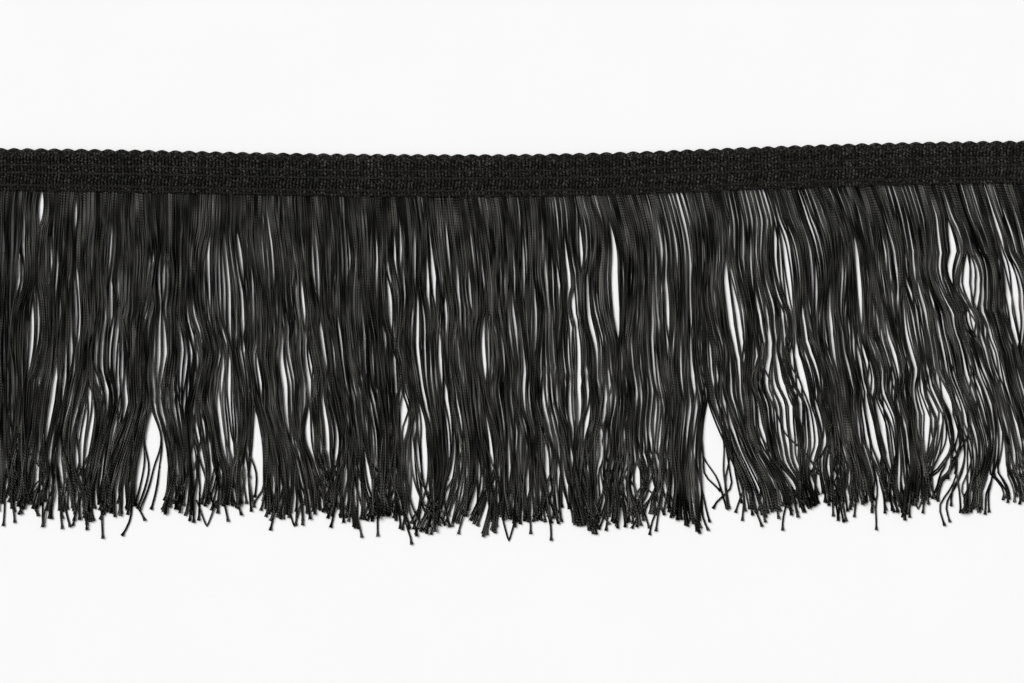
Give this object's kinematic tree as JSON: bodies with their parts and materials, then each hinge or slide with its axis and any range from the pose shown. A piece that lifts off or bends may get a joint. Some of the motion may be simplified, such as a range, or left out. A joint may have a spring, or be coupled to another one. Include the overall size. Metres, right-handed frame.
{
  "type": "tassel fringe trim",
  "caption": "Cut length of black fringe trim: a knitted heading with a scalloped top edge and long straight cut yarns, lying flat on its back.",
  "frame": {"origin": "middle of the heading's flat back, halfway along the length and halfway up the heading", "axes": "+X along the trim, +Y from the fringe toward the scalloped top edge, +Z out of the face"},
  "size_m": [0.3426, 0.1189, 0.0023],
  "materials": {
    "heading": "matte black knitted yarn",
    "fringe": "soft sheen black yarn"
  },
  "bodies": {
    "root": {"heading": "heading", "fringe_back_row": "fringe", "fringe_front_row": "fringe"}
  },
  "joints": []
}
